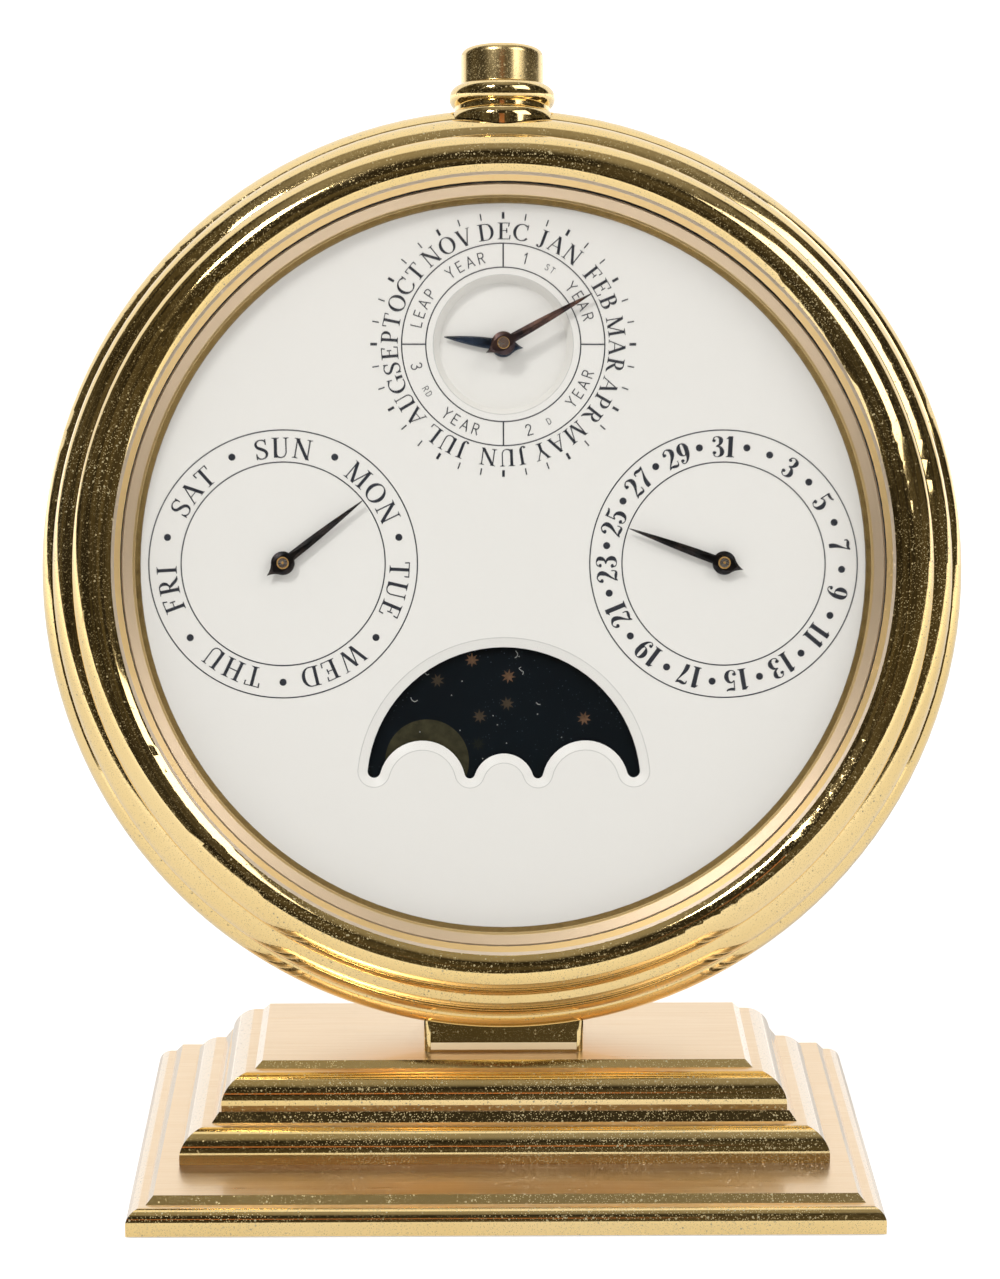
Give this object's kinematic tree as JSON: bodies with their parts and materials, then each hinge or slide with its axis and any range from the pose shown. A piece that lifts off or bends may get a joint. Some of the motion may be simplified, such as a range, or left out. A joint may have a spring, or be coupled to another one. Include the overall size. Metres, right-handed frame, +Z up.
{
  "type": "perpetual desk calendar",
  "caption": "Round brass desk calendar leaning back on a stepped base, with dials for day, date, month and leap year, a moon window, and a push-button on top",
  "frame": {"origin": "on the table, under the middle of the pedestal", "axes": "+X to the right of someone who reads the dial, +Y away from them, +Z up"},
  "size_m": [0.132, 0.0783, 0.1541],
  "materials": {
    "gilt_brass": "polished gilt brass, lacquered, with fine dust and scratches",
    "gilt_ring": "dark gilt brass, satin",
    "movement_brass": "plain machined brass, satin",
    "steel": "turned and ground steel",
    "spring_steel": "tempered spring steel, blue-grey",
    "dial_white": "off-white enamel paint, smooth, printed in blue-black",
    "hand_bronze": "oxidised bronze, dark, ridged",
    "hand_blue": "blued steel, nearly black",
    "moon_blue": "night-blue lacquer with dull gold moons and copper stars",
    "clear_glass": "clear flat mineral glass, polished, bevelled edge",
    "gasket": "black rubber",
    "felt": "dark green felt"
  },
  "bodies": {
    "stand": {"base_plate": "gilt_brass", "base_middle": "gilt_brass", "base_top": "gilt_brass", "foot_pad": "felt", "base_screws": "steel", "stand_screws": "steel", "pedestal": "gilt_brass", "case_body": "gilt_brass", "bezel": "gilt_brass", "glass": "clear_glass", "glass_gasket": "gasket", "dial_ring": "gilt_ring", "back_cover": "movement_brass", "back_cover_screws": "steel", "dial": "dial_white", "year_disc": "dial_white", "dial_posts": "movement_brass", "main_plate": "movement_brass", "movement_screws": "steel", "pillars": "movement_brass", "back_bridge": "movement_brass", "bridge_screws": "steel", "crown_collar": "gilt_brass", "pusher_tube": "movement_brass", "slide_guides": "movement_brass", "lever_stud": "steel", "jumper_screws": "steel", "day_jumper": "spring_steel", "date_jumper": "spring_steel", "month_jumper": "spring_steel", "moon_jumper": "spring_steel", "slide_spring": "spring_steel", "button_spring": "spring_steel"},
    "button": {"button_cap": "gilt_brass", "button_stem": "steel", "stem_clip": "steel"},
    "slide": {"calendar_slide": "steel", "day_pawl": "steel", "date_pawl": "steel", "moon_pawl": "steel"},
    "day_set": {"day_hand": "hand_bronze", "day_arbor": "steel", "day_star": "movement_brass"},
    "date_set": {"date_hand": "hand_bronze", "date_arbor": "steel", "date_wheel": "movement_brass"},
    "month_set": {"month_hand": "hand_bronze", "month_arbor": "steel", "month_star": "movement_brass"},
    "reduction_set": {"reduction_wheel": "movement_brass", "reduction_arbor": "steel"},
    "leap_set": {"leap_hand": "hand_blue", "leap_wheel": "movement_brass", "month_cam": "movement_brass"},
    "moon_set": {"moon_disc": "moon_blue", "moon_arbor": "steel", "moon_wheel": "movement_brass"},
    "lever_set": {"month_lever": "steel"}
  },
  "joints": [
    {"name": "button_press", "type": "slide", "parent": "stand", "child": "button", "axis": [0, -0.309, -0.9511], "range_m": [0, 0.0018], "stiffness_N_per_m": 600, "springref_m": -0.0008, "deforming": ["button_spring"]},
    {"name": "slide_travel", "type": "slide", "parent": "stand", "child": "slide", "axis": [0, -0.309, -0.9511], "range_m": [0, 0.0018], "deforming": ["slide_spring", "day_pawl", "date_pawl", "moon_pawl"]},
    {"name": "day_turn", "type": "hinge", "parent": "stand", "child": "day_set", "pos_m": [-0.03123, 0.01775, 0.08061], "axis": [0, 0.9511, -0.309], "continuous": true, "deforming": ["day_jumper"]},
    {"name": "date_turn", "type": "hinge", "parent": "stand", "child": "date_set", "pos_m": [0.03123, 0.01775, 0.08061], "axis": [0, 0.9511, -0.309], "continuous": true, "deforming": ["date_jumper"]},
    {"name": "month_turn", "type": "hinge", "parent": "stand", "child": "month_set", "pos_m": [0, 0.0274, 0.11031], "axis": [0, 0.9511, -0.309], "continuous": true, "deforming": ["month_jumper"]},
    {"name": "moon_turn", "type": "hinge", "parent": "stand", "child": "moon_set", "pos_m": [0, 0.0081, 0.05091], "axis": [0, 0.9511, -0.309], "continuous": true, "deforming": ["moon_jumper"]},
    {"name": "reduction_turn", "type": "hinge", "parent": "stand", "child": "reduction_set", "pos_m": [-0.00831, 0.02592, 0.10574], "axis": [0, 0.9511, -0.309], "continuous": true},
    {"name": "leap_turn", "type": "hinge", "parent": "stand", "child": "leap_set", "pos_m": [0, 0.0274, 0.11031], "axis": [0, 0.9511, -0.309], "continuous": true},
    {"name": "month_lever_swing", "type": "hinge", "parent": "stand", "child": "lever_set", "pos_m": [0.01205, 0.02449, 0.11365], "axis": [0, -0.9511, 0.309], "range_deg": [0, 2.5], "stiffness_Nm_per_rad": 0.01, "springref_deg": -5.73}
  ],
  "couplings": [
    {"joint": "slide_travel", "follows": "button_press", "ratio": 1},
    {"joint": "reduction_turn", "follows": "month_turn", "ratio": -0.5},
    {"joint": "leap_turn", "follows": "month_turn", "ratio": 0.25}
  ]
}
